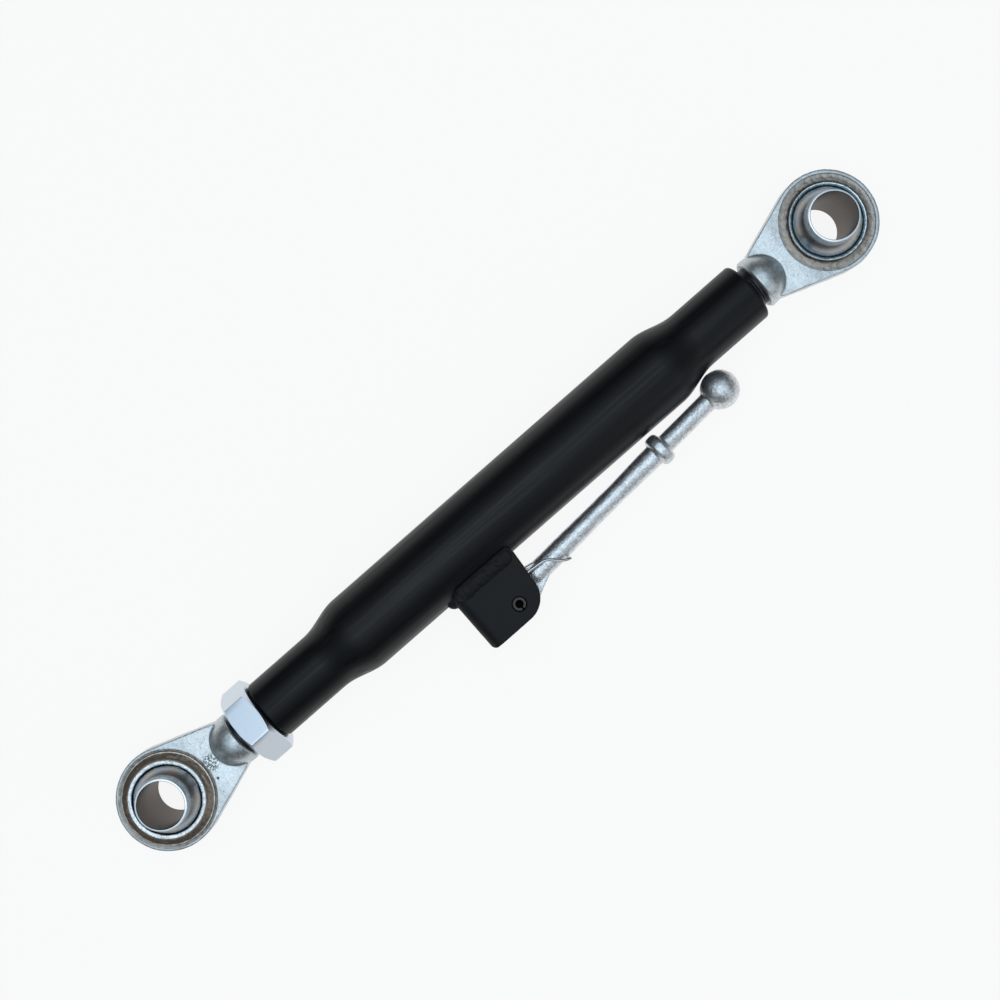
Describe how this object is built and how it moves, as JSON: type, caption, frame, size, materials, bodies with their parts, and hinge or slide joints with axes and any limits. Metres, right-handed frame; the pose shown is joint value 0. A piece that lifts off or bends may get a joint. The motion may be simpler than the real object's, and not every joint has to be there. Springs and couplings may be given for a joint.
{
  "type": "tractor top link",
  "caption": "Adjustable tractor top link: swaged barrel tube threaded onto swivel ball ends, with a lock nut and a sprung folding handle in a welded bracket.",
  "frame": {"origin": "centre of the bounding box's footprint, on the plane that the balls' lower end rings stand on", "axes": "+X along the link from the lock nut's eye to the other eye, +Z along both pin bores, and the handle on the -Y side"},
  "size_m": [0.53, 0.0842, 0.051],
  "materials": {
    "satin_black_paint": "satin black paint over steel tube",
    "matte_black_paint": "matte charcoal paint over plate and weld",
    "oiled_spring_steel": "dark oiled spring steel",
    "plated_casting": "zinc plating over a fine cast skin",
    "bright_wire": "bright drawn spring wire",
    "plated_nut": "pale blue zinc over turned faces",
    "plated_forging": "pale zinc over a mottled forging skin",
    "ground_ball_steel": "ground blue-grey steel"
  },
  "bodies": {
    "lower_eye": {"lower_eye_end": "plated_forging"},
    "lower_ball": {"lower_ball": "ground_ball_steel"},
    "lock_nut": {"lock_nut": "plated_nut"},
    "barrel": {"barrel_tube": "satin_black_paint", "handle_bracket": "matte_black_paint", "weld_bead_top": "matte_black_paint", "weld_bead_bottom": "matte_black_paint", "weld_bead_back": "matte_black_paint", "handle_pin": "oiled_spring_steel"},
    "handle": {"handle": "plated_casting", "handle_spring": "bright_wire"},
    "upper_eye": {"upper_eye_end": "plated_forging"},
    "upper_ball": {"upper_ball": "ground_ball_steel"}
  },
  "joints": [
    {"name": "barrel_turn", "type": "hinge", "parent": "lock_nut", "child": "barrel", "pos_m": [0, 0.01365, 0.0255], "axis": [1, 0, 0], "range_deg": [0, 11880]},
    {"name": "nut_travel", "type": "slide", "parent": "lower_eye", "child": "lock_nut", "axis": [1, 0, 0], "range_m": [0, 0.099]},
    {"name": "link_extend", "type": "slide", "parent": "lower_eye", "child": "upper_eye", "axis": [1, 0, 0], "range_m": [0, 0.198]},
    {"name": "lower_ball_swivel", "type": "hinge", "parent": "lower_eye", "child": "lower_ball", "pos_m": [-0.2365, 0.01365, 0.0255], "axis": [0, 1, 0], "range_deg": [-15, 15]},
    {"name": "upper_ball_swivel", "type": "hinge", "parent": "upper_eye", "child": "upper_ball", "pos_m": [0.2365, 0.01365, 0.0255], "axis": [0, 1, 0], "range_deg": [-15, 15]},
    {"name": "handle_swing", "type": "hinge", "parent": "barrel", "child": "handle", "pos_m": [-0.0243, -0.03195, 0.0255], "axis": [0, 0, -1], "range_deg": [0, 100], "stiffness_Nm_per_rad": 0.25, "springref_deg": -17.19, "deforming": ["handle_spring"]}
  ],
  "couplings": [
    {"joint": "nut_travel", "follows": "link_extend", "ratio": 0.5},
    {"joint": "barrel_turn", "follows": "link_extend", "rad_per_m": 1047.2}
  ]
}
